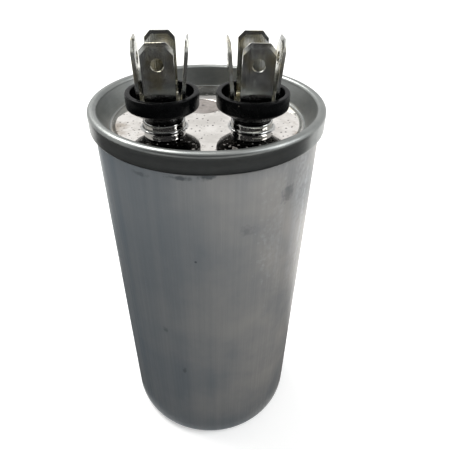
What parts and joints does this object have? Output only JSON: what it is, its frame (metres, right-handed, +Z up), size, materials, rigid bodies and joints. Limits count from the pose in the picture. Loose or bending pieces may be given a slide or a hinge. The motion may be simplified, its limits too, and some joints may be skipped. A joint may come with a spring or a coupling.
{
  "type": "motor run capacitor",
  "caption": "Round aluminium-can motor run capacitor with a rolled seam, recessed lid and two black insulated terminals with push-on tabs.",
  "frame": {"origin": "centre of the can's flat base", "axes": "+Z up along the can's axis to the terminals; the two terminals lie towards -Y, one to -X and one to +X"},
  "size_m": [0.052, 0.052, 0.1128],
  "materials": {
    "can_aluminium": "satin, drawn",
    "lid_tinplate": "bright tinplate",
    "black_moulding": "satin gloss",
    "tinned_tab": "tinned, bright",
    "rivet_metal": "tinned",
    "plug_compound": "cast, satin",
    "rubber_black": "matt",
    "washer_steel": "plated",
    "copper_strap": "copper",
    "cream_moulding": "matt",
    "film_roll": "metallised film",
    "core_plastic": "matt",
    "zinc_spray": "rough sprayed",
    "wrap_film": "clear film in turns"
  },
  "bodies": {
    "root": {"can": "can_aluminium", "lid": "lid_tinplate", "seam_seal": "rubber_black", "fill_plug": "plug_compound", "left_insulator": "black_moulding", "right_insulator": "black_moulding", "left_tabs": "tinned_tab", "right_tabs": "tinned_tab", "left_rivet": "rivet_metal", "right_rivet": "rivet_metal", "left_gasket": "rubber_black", "right_gasket": "rubber_black", "left_lower_insulator": "black_moulding", "right_lower_insulator": "black_moulding", "left_washer": "washer_steel", "right_washer": "washer_steel", "left_lead": "copper_strap", "right_lead": "copper_strap", "interrupter_plate": "cream_moulding", "winding": "film_roll", "core_tube": "core_plastic", "upper_spray": "zinc_spray", "lower_spray": "zinc_spray", "winding_wrap": "wrap_film", "lower_cup": "cream_moulding"}
  },
  "joints": []
}
